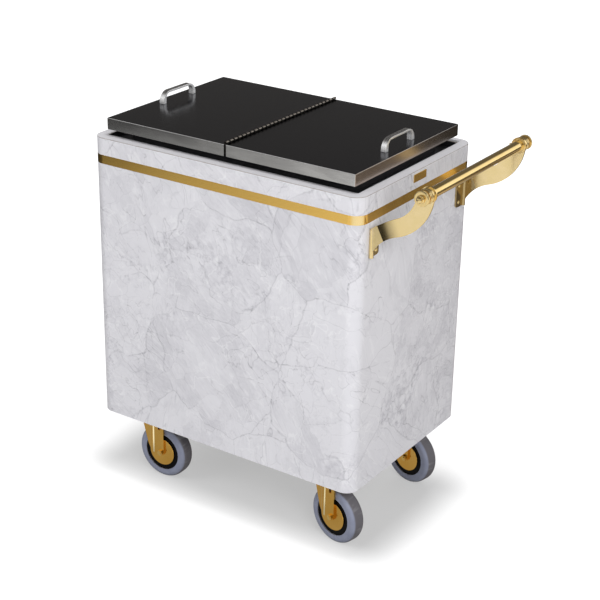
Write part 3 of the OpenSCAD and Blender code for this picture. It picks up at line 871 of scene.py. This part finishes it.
# %% Lid steel with a dark top
def lid_steel():
    finish = Finish("lid_steel")
    here = place_on_piece(finish)
    x, y, _ = split(finish, here)
    to_end, _, rise = split(finish, way_it_faces(finish))
    up = ease(finish, rise, 0.55, 0.95)
    top_lines = noise(finish, stretch(finish, here, (900.0, 5.0, 900.0)), 1.0, 3.0, 0.65)
    skirt_lines = noise(finish, stretch(finish, here, (6.0, 6.0, 1200.0)), 1.0, 3.0, 0.65)
    cloud = noise(finish, here, 5.0, 5.0, 0.6)
    smear = ease(finish, noise(finish, stretch(finish, here, (9.0, 9.0, 30.0)), 1.0), 0.35, 0.65)

    skirt = blend(finish, skirt_lines * 0.4 + smear * 0.6, *SKIRT_STEEL)
    # painted shade on the skirt at the handle end, brown and darker towards the back
    brown = blend(finish, ease(finish, y, -0.10, 0.24), *END_SKIRT_PAINTED_SHADE)
    skirt = blend(finish, ease(finish, to_end, 0.4, 0.9), skirt, brown)
    # painted shade: black where the two lids meet
    between = ease(finish, abs(x - FOLD_LINE), 0.0028, 0.0034, 1.0, 0.0) * (1.0 - up)
    skirt = blend(finish, between, skirt, LIDS_GAP_PAINTED_SHADE)
    # painted shade: the top of the tray is near black
    top = blend(finish, top_lines * 0.6 + cloud * 0.4, *TOP_PAINTED_SHADE)
    steel = blend(finish, up, skirt, top)

    # painted highlight: the rounded fold between top and skirts is painted near white, less at the
    # handle end
    edge = ease(finish, rise, 0.10, 0.30) * ease(finish, rise, 0.80, 0.97, 1.0, 0.0)
    edge = edge * ease(finish, to_end, 0.1, 0.4, 0.85, 0.1)
    return close_finish(
        finish,
        base_color=blend(finish, edge, steel, EDGE_PAINTED_HIGHLIGHT),
        metallic=1.0,
        roughness=0.22 - up * 0.03 + (top_lines - 0.5) * 0.05 + (cloud - 0.5) * 0.04,
        normal=bump(finish, top_lines * up + skirt_lines * (1.0 - up), 0.000008, 0.6),
    )


print("lids:", lid_steel().name)

# %% [markdown]
# Plastic, rubber, paint and foam
#
# What is neither metal nor laminate is dull and of one colour with a fine grain. The wheel
# centres are nearly black, so their own gloss is turned down too. A plain finish mixes two
# close colours by a soft cloud and raises tiny pores.


# %% Plain finishes
def plain(name, colour, other, roughness, grain=60.0, **more):
    """A painted, moulded or foamed surface of two close colours with a fine grain."""
    finish = Finish(name)
    here = place_on_piece(finish)
    cloud = noise(finish, here, grain * 0.25, 4.0, 0.6)
    pores = noise(finish, here, grain * 14.0, 3.0, 0.6)
    return close_finish(
        finish,
        base_color=blend(finish, ease(finish, cloud, 0.3, 0.7), colour, other),
        roughness=roughness + (cloud - 0.5) * 0.15,
        normal=bump(finish, pores, 0.00004, 0.5),
        **more,
    )


plain("lever_steel", (0.02, 0.02, 0.022), (0.03, 0.03, 0.032), roughness=0.42)
plain("black_plastic", (0.012, 0.012, 0.013), (0.018, 0.018, 0.02), roughness=0.5)
plain("seal_rubber", (0.012, 0.012, 0.012), (0.02, 0.02, 0.02), roughness=0.7)
plain("wheel_black", (0.0015,) * 3, (0.003,) * 3, roughness=0.45, specular_ior_level=0.10)
plain("foam", (0.72, 0.62, 0.38), (0.62, 0.52, 0.30), roughness=0.9, grain=40.0)
print("finishes so far:", len(finishes))

# %% [markdown]
# Tyres
#
# The tyres are grey rubber with a bluish sidewall. The tread is rubbed dull by the floor and is
# darker, with scuffs across it. The wheels roll about an axle that lies nearly along Y, so the
# part of the direction along Y tells the sidewall from the tread.


# %% Tyre rubber
SIDEWALL_GREY = ((0.190, 0.208, 0.290), (0.325, 0.347, 0.440))
TREAD_GREY = ((0.132, 0.126, 0.138), (0.205, 0.198, 0.212))


def tyre_rubber():
    finish = Finish("tyre_grey")
    here = place_on_piece(finish)
    sidewall = ease(finish, abs(split(finish, way_it_faces(finish))[1]), 0.50, 0.80)
    smear = noise(finish, here, 38.0, 5.0, 0.6)
    scuff = ease(finish, noise(finish, stretch(finish, here, (90.0, 12.0, 90.0)), 1.0), 0.52, 0.70)
    wall = blend(finish, smear, *SIDEWALL_GREY)
    tread = blend(finish, scuff, *TREAD_GREY)
    pores = noise(finish, here, 700.0, 3.0, 0.6)
    return close_finish(
        finish,
        base_color=blend(finish, sidewall, tread, wall),
        roughness=0.70 - sidewall * 0.16 + (smear - 0.5) * 0.15,
        normal=bump(finish, pores + scuff * 0.4, 0.00005, 0.5),
    )


print("tyres:", tyre_rubber().name)

# %% [markdown]
# Boards
#
# The bottom and the shelf are plywood with a grey facing. From below one sees the facing, and
# on the cut edges the layers, which are noise squeezed into thin sheets along the height.


# %% Faced board
WOOD_LAYERS = ((0.46, 0.31, 0.17), (0.24, 0.15, 0.08))
BOARD_FACING = ((0.36, 0.36, 0.365), (0.44, 0.44, 0.445))


def faced_board():
    finish = Finish("plywood")
    here = place_on_piece(finish)
    flat = ease(finish, abs(split(finish, way_it_faces(finish))[2]), 0.6, 0.9)
    layers = noise(finish, stretch(finish, here, (6.0, 6.0, 700.0)), 1.0, 3.0, 0.6)
    layered = ease(finish, layers, 0.35, 0.65)
    wood = blend(finish, layered, *WOOD_LAYERS)
    speck = noise(finish, here, 240.0, 3.0, 0.6)
    facing = blend(finish, speck, *BOARD_FACING)
    return close_finish(
        finish,
        base_color=blend(finish, flat, wood, facing),
        roughness=0.60 + (speck - 0.5) * 0.2,
        normal=bump(finish, layers, 0.00006, 0.5),
    )


print("boards:", faced_board().name)

# %% [markdown]
# Handing the finishes out
#
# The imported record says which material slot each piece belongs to. Each piece takes the finish
# of its slot. A few take a finish of their own: the arms and the bar of the push handle, the
# turned pieces on the bar, whose polish is a little softer, and the forks and axle bolts of the
# casters.

# %% Give each piece its finish
slot_of = {row["node"]: row["material_slot"] for row in frame["record"]["subparts"]}
own_finish = {
    "bracket_front": "arm_brass_front",
    "bracket_back": "arm_brass_back",
    "push_bar": "bar_brass",
    "bar_finials": "turned_brass",
    "bar_collars": "turned_brass",
}
for corner in ("fl", "fr", "bl", "br"):
    own_finish[f"caster_{corner}_axle"] = "bolt_brass"
    own_finish[f"caster_{corner}_fork"] = "fork_brass_" + corner[1]

for name, piece in frame["nodes"].items():
    piece.data.materials.clear()
    piece.data.materials.append(finishes[own_finish.get(name, slot_of[name])])

print("pieces with a finish:", len(slot_of), "of their own:", len(own_finish))

# %% [markdown]
# Eased edges
#
# Sheet that is folded or sheared never ends in a perfect corner, and only a rounded edge
# catches a line of light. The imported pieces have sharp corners, so the pieces whose edges
# show get a copy with rounded ones: the copy is welded, its flat triangles are joined to
# whole faces, and the chosen edges are bevelled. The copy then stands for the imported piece.

# %% Copies with rounded edges
WELD = 0.00001
FLAT_ANGLE = math.radians(0.3)
SHARP_ANGLE = 0.6
SMOOTH_ANGLE = math.radians(40)
body_of = {
    node: body for body, nodes in frame["record"]["behaviour"]["bodies"].items() for node in nodes
}


def eased_mesh(name, passes):
    """A copy of a piece's mesh with rounded edges. passes are (radius, test of an edge) pairs."""
    mesh = frame["nodes"][name].data.copy()
    mesh.name = name + "_eased"
    work = bmesh.new()
    work.from_mesh(mesh)
    bmesh.ops.remove_doubles(work, verts=work.verts, dist=WELD)
    bmesh.ops.dissolve_limit(work, angle_limit=FLAT_ANGLE, verts=work.verts, edges=work.edges)
    for radius, wanted in passes:
        chosen = [
            edge
            for edge in work.edges
            if edge.is_manifold and edge.calc_face_angle() > SHARP_ANGLE and wanted(edge)
        ]
        bmesh.ops.bevel(
            work, geom=chosen, offset=radius, segments=3, profile=0.5, affect="EDGES",
            clamp_overlap=True,
        )
    work.to_mesh(mesh)
    work.free()
    if "custom_normal" in mesh.attributes:
        mesh.attributes.remove(mesh.attributes["custom_normal"])
    mesh.shade_smooth()
    mesh.set_sharp_from_angle(angle=SMOOTH_ANGLE)
    return mesh


def eased_copy(name, passes):
    """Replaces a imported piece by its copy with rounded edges."""
    piece = bpy.data.objects.new(name + "_eased", eased_mesh(name, passes))
    bpy.context.scene.collection.objects.link(piece)
    piece.modifiers.new("flat faces stay flat", "WEIGHTED_NORMAL").keep_sharp = True
    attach(piece, body_of[name])
    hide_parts(name)
    return piece


print("edges sharper than", round(math.degrees(SHARP_ANGLE)), "degrees can be eased")

# %% [markdown]
# Which edges are eased
#
# The liner hides the inside of a lid tray, so only the outer edges are rounded: the folds by
# more than a millimetre, and the sheared lower edge by half of one. Handles, arms and the
# plaque are small and are eased all round.

# %% Ease the lids, handles, arms and plaque
TRAY_FOLD = 0.0014
SHEARED_EDGE = 0.0005
TOUCHING = 0.0001
HANDLE_EDGE = 0.0009
SMALL_EDGES = {"bracket_front": 0.0005, "bracket_back": 0.0005, "plaque": 0.0003}


def touches(edge, axis, bound):
    return all(abs(corner.co[axis] - bound) < TOUCHING for corner in edge.verts)


def on_outside(edge, low, high):
    """True where two outer faces of the box from low to high meet."""
    faces = [(axis, bound) for axis in range(3) for bound in (low[axis], high[axis])]
    return sum(touches(edge, axis, bound) for axis, bound in faces) >= 2


def any_edge(edge):
    return True


for side in ("left", "right"):
    low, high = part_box(f"lid_{side}_shell")
    tray = eased_copy(
        f"lid_{side}_shell",
        [
            (TRAY_FOLD, lambda e: on_outside(e, low, high) and not touches(e, 2, low[2])),
            (SHEARED_EDGE, lambda e: touches(e, 2, low[2])),
        ],
    )
    grip = eased_copy(f"lid_{side}_handle", [(HANDLE_EDGE, any_edge)])
    print(tray.name, len(tray.data.polygons), grip.name, len(grip.data.polygons))

for name, radius in SMALL_EDGES.items():
    piece = eased_copy(name, [(radius, any_edge)])
    print(piece.name, len(piece.data.polygons))

# %% [markdown]
# The white sweep
#
# The cart stands on a floor that looks white. A floor of white paint would need so much light that
# the case would burn out, so the floor is grey paint that also glows, and only for the camera:
# beside the cart the two add up to white, and under it the glow is weaker, a painted shadow laid
# over the real shadow of the overhead lamp.
# Metal has to mirror something, so the floor shows it another face: bright in front and to the
# right, dim to the far left, where the band and skirts darken, and dark far behind the cart.

# %% The floor's sheet
FLOOR_HALF = 30.0
FLOOR_GREY = (0.26, 0.26, 0.262)
WHITE = (1.0, 1.0, 1.0)


def floor_sheet(half):
    mesh = bpy.data.meshes.new("studio_floor")
    corners = [(-half, -half, 0), (half, -half, 0), (half, half, 0), (-half, half, 0)]
    mesh.from_pydata(corners, [], [(0, 1, 2, 3)])
    floor = bpy.data.objects.new("studio_floor", mesh)
    bpy.context.scene.collection.objects.link(floor)
    floor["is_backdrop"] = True
    return floor


def kinds_of_ray(finish):
    """Whether a ray comes from the camera, from a mirror, or through glass."""
    return [
        finish.node("ShaderNodeLightPath", out=f"Is {kind} Ray")
        for kind in ("Camera", "Glossy", "Transmission")
    ]


print("the sheet will be", 2 * FLOOR_HALF, "m wide")

# %% [markdown]
# The glow that the camera sees
#
# The glow is weakest under the cart, where it paints a shadow over the real one, rises over a
# hand's width round the footprint of the wheels, and reaches full white further off.

# %% Glow for the camera
FOOTPRINT_X = (-0.43, 0.275)
FOOTPRINT_Y = (-0.155, 0.155)
SHADOW_EDGE = 0.13
GLOW_IN_PAINTED_SHADOW = 0.41
GLOW_BESIDE = 0.39
GLOW_FAR = 0.20
FAR_EDGE = (0.8, 2.2)


def glow_seen(finish, x, y, away):
    # painted shadow: the glow drops under the cart and rises round it
    beside = outside(finish, x, FOOTPRINT_X)
    across = outside(finish, y, FOOTPRINT_Y)
    clear = (beside * beside + across * across) ** 0.5
    edge = ease(finish, clear, 0.0, SHADOW_EDGE, 0.0, GLOW_BESIDE)
    return GLOW_IN_PAINTED_SHADOW + edge + ease(finish, away, *FAR_EDGE, 0.0, GLOW_FAR)


print("glow under, beside and far:", GLOW_IN_PAINTED_SHADOW, GLOW_BESIDE, GLOW_FAR)

# %% [markdown]
# The face that metal mirrors
#
# The band of the long side mirrors the floor in front, from left to right. The band and the
# skirt of the handle end mirror the floor behind and to the right, dark but for one patch.
# Each name is a stretch along X or Y, in metres, over which the light rises or falls.

# %% Brightness for mirrors
LEFT_FADE, LEFT_RISE = (-2.30, -1.55), (-1.35, -0.75)
FAR_LEFT_X, FAR_LEFT_Y = (-1.95, -1.65), (-2.40, -2.15)
FRONT_TO_BACK = (-0.6, 1.2)
DARK_BEHIND = (1.30, 1.85)
PATCH_START, PATCH_END, PATCH_SIDE = (2.00, 2.15), (2.25, 2.40), (1.36, 1.50)
CART_BACK, CART_SIDE = (0.3, 0.8), (0.80, 1.15)


def open_floor(finish, x, y):
    """The floor away from the cart."""
    side = ease(finish, x, *LEFT_FADE, 0.05, 0.58) + ease(finish, x, *LEFT_RISE, 0.0, 0.34)
    far_left = ease(finish, x, *FAR_LEFT_X, 1.0, 0.0) * ease(finish, y, *FAR_LEFT_Y, 1.0, 0.0)
    side = side * (1.0 - far_left * 0.6)
    front = ease(finish, y, *FRONT_TO_BACK, 1.0, 0.95)
    depth = front * ease(finish, y, *DARK_BEHIND, 1.0, 0.15)
    patch = ease(finish, y, *PATCH_START, 0.0, 0.55) * ease(finish, y, *PATCH_END, 1.0, 0.0)
    depth = depth + patch * ease(finish, x, *PATCH_SIDE, 1.0, 0.0)
    behind_cart = ease(finish, y, *CART_BACK) * ease(finish, x, *CART_SIDE, 0.55, 0.0)
    return side * depth * (1.0 - behind_cart)


print("for mirrors the floor is dark beyond y =", DARK_BEHIND[1])

# %% [markdown]
# The floor by the wheels
#
# The casters mirror the floor within a step of the cart. It is half dark, and bright in front
# of each near caster, so that the brass shines there. The bright spot that the rounded corner
# of the band mirrors is laid over all.


# %% Brightness by the wheels
NEAR_LEVEL, NEAR_GAIN = 0.42, 0.58
NEAR_EDGE = (0.60, 0.95)
LEFT_CASTER_START, LEFT_CASTER_END = (-0.405, -0.365), (-0.14, -0.06)
RIGHT_CASTER_START = (0.080, 0.115)
FRONT_EDGE = (-0.38, -0.32)
FRONT_SPOT, SPOT_EDGE = (1.85, -1.25), (0.25, 1.05)


def floor_by_the_wheels(finish, x, y):
    """The floor close to the cart, lit in front of the two near casters."""
    left = ease(finish, x, *LEFT_CASTER_START) * ease(finish, x, *LEFT_CASTER_END, 1.0, 0.0)
    right = ease(finish, x, *RIGHT_CASTER_START)
    in_front = ease(finish, y, *FRONT_EDGE, 1.0, 0.0)
    return NEAR_LEVEL + (left + right) * in_front * NEAR_GAIN


def glow_mirrored(finish, x, y, away):
    near = ease(finish, away, *NEAR_EDGE, 1.0, 0.0)
    spot_x, spot_y = x - FRONT_SPOT[0], y - FRONT_SPOT[1]
    to_spot = (spot_x * spot_x + spot_y * spot_y) ** 0.5
    level = open_floor(finish, x, y) * (1.0 - near) + near * floor_by_the_wheels(finish, x, y)
    return level + ease(finish, to_spot, *SPOT_EDGE, 0.70, 0.0)


print("near up to", NEAR_EDGE[0], "m, and brightest at", FRONT_SPOT)

# %% [markdown]
# Laying the floor
#
# A ray that comes from a mirror meets the painted brightness, which is whiter in front and
# warmer behind. All other rays meet the paint with its glow.


# %% Floor finish
MIRRORED_FRONT = (1.0, 0.985, 0.965)
MIRRORED_BACK = (1.0, 0.87, 0.72)


def floor_finish():
    finish = Finish("studio_floor")
    x, y, _ = split(finish, place_on_piece(finish))
    away = (x * x + y * y) ** 0.5
    from_camera, from_mirror, through_glass = kinds_of_ray(finish)
    paint = finish.node("ShaderNodeBsdfDiffuse", sockets={"Color": FLOOR_GREY})
    seen = tinted(finish, WHITE, glow_seen(finish, x, y, away) * (from_camera + through_glass))
    glow = finish.node("ShaderNodeEmission", sockets={"Color": seen})
    sweep = finish.node("ShaderNodeAddShader", sockets={0: paint, 1: glow})
    back = ease(finish, y, *FRONT_TO_BACK)
    warmth = blend(finish, back, MIRRORED_FRONT, MIRRORED_BACK)
    level = tinted(finish, warmth, glow_mirrored(finish, x, y, away))
    mirrored = finish.node("ShaderNodeEmission", sockets={"Color": level})
    both = finish.node("ShaderNodeMixShader", sockets={0: from_mirror, 1: sweep, 2: mirrored})
    finish.node("ShaderNodeOutputMaterial", sockets={"Surface": both})
    return finish.material


floor = floor_sheet(FLOOR_HALF)
floor.data.materials.append(floor_finish())
print("floor is", floor.dimensions.x, "m wide")

# %% [markdown]
# The studio round the cart
#
# The camera sees white above the floor too. To metal the studio is mostly dark, which is what
# blackens the tops of the lids: there is a low pale wall all round, a higher pale wall in
# front, and one bright window behind and to the right, which draws the long highlight on the
# push bar. Everything else gets an even soft light.

# %% World
WINDOW_DIRECTION = (0.55, 0.78, 0.30)
WINDOW_EDGE, WINDOW_LEVEL = (0.88, 0.98), 1.05
LOW_WALL, WALL_FOOT, WALL_TOP = (0.00, 0.16), 0.45, 0.14
FRONT_WALL_START, FRONT_WALL_END, FRONT_LEVEL = (0.26, 0.36), (0.60, 0.95), 0.60
IN_FRONT = (-0.3, 0.1)
SOFT_LIGHT = 0.38
DIM_TINT = (1.0, 0.95, 0.91)

world = bpy.data.worlds.new("studio")
bpy.context.scene.world = world


def studio_world():
    finish = Finish("studio", owner=world)
    direction = finish.node("ShaderNodeTexCoord", out="Generated")
    _, y, z = split(finish, direction)
    from_camera, from_mirror, through_glass = kinds_of_ray(finish)
    toward = dot(finish, direction, WINDOW_DIRECTION)
    window = ease(finish, toward, *WINDOW_EDGE, 0.0, WINDOW_LEVEL)
    low_wall = ease(finish, z, *LOW_WALL, WALL_FOOT, WALL_TOP)
    raised = ease(finish, z, *FRONT_WALL_START) * ease(finish, z, *FRONT_WALL_END, 1.0, 0.0)
    front_wall = ease(finish, y, *IN_FRONT, 1.0, 0.0) * raised * FRONT_LEVEL
    studio = window + low_wall + front_wall
    others = 1.0 - from_camera - through_glass - from_mirror
    strength = from_camera + through_glass + from_mirror * studio + others * SOFT_LIGHT
    dim = from_mirror * ease(finish, studio, 0.2, 0.6, 1.0, 0.0)
    tint = blend(finish, dim, WHITE, DIM_TINT)
    glow = finish.node("ShaderNodeBackground", sockets={"Color": tint, "Strength": strength})
    finish.node("ShaderNodeOutputWorld", sockets={"Surface": glow})


studio_world()
print("world:", world.name, "with a window towards", WINDOW_DIRECTION)

# %% [markdown]
# Lamps
#
# Four soft boxes light the cart: a key from the front right, a weaker fill from the front left,
# one behind for the far side, and one overhead that casts the shadow under the cart. None is
# mirrored, because a square lamp in a polished bar would give the studio away.


# %% Lamps
def softbox(name, place, target, width, watts):
    """A square soft lamp that looks at target."""
    lamp = bpy.data.lights.new(name, "AREA")
    lamp.shape, lamp.size, lamp.size_y, lamp.energy = "RECTANGLE", width, width, watts
    holder = bpy.data.objects.new(name, lamp)
    bpy.context.scene.collection.objects.link(holder)
    aim = (Vector(target) - Vector(place)).to_track_quat("-Z", "Y")
    holder.matrix_world = Matrix.Translation(place) @ aim.to_matrix().to_4x4()
    holder.visible_glossy = False
    return holder


softbox("key_front_right", (3.0, -2.4, 2.4), (0.0, 0.0, 0.45), width=2.0, watts=114)
softbox("fill_front_left", (-2.4, -2.8, 2.7), (0.0, 0.0, 0.5), width=2.2, watts=54)
softbox("fill_behind", (-1.6, 3.2, 2.4), (0.0, 0.0, 0.5), width=2.4, watts=44)
softbox("overhead", (0.06, -0.16, 3.4), (-0.05, 0.0, 0.5), width=0.7, watts=80)
print("lamps:", [lamp.name for lamp in bpy.data.lights])

# %% [markdown]
# Camera
#
# The camera was worked out from the photograph: the edges of the case and lids give its place,
# its turn and its focal length, so the render can be laid over the photograph.

# %% Camera
RIGHT = Vector((0.83009, 0.55735, 0.01748))
UP = Vector((-0.23665, 0.32373, 0.91608))
BACK = Vector((0.50492, -0.76456, 0.40062))
EYE = (1.77598, -2.71949, 1.90771)
FOCAL_LENGTH, FILM_WIDTH, FAR_END = 90.39, 36.0, 100.0

lens = bpy.data.cameras.new("camera")
lens.lens, lens.sensor_width, lens.clip_end = FOCAL_LENGTH, FILM_WIDTH, FAR_END
camera = bpy.data.objects.new("camera", lens)
bpy.context.scene.collection.objects.link(camera)
turned = Matrix((RIGHT, UP, BACK)).transposed().to_4x4()
camera.matrix_world = Matrix.Translation(EYE) @ turned
bpy.context.scene.camera = camera
bpy.context.scene.view_settings.view_transform = "Standard"
print("camera:", [round(v, 3) for v in camera.location])

# %% [markdown]
# Closing
#
# The last line prints the box of the dressed cart. It has to be the same as that of the imported
# cart: rounded edges only take material away.

# %% Sizes and finish
low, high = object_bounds()
print("dressed cart, in mm:", [round(1000 * (b - a), 1) for a, b in zip(low, high)])
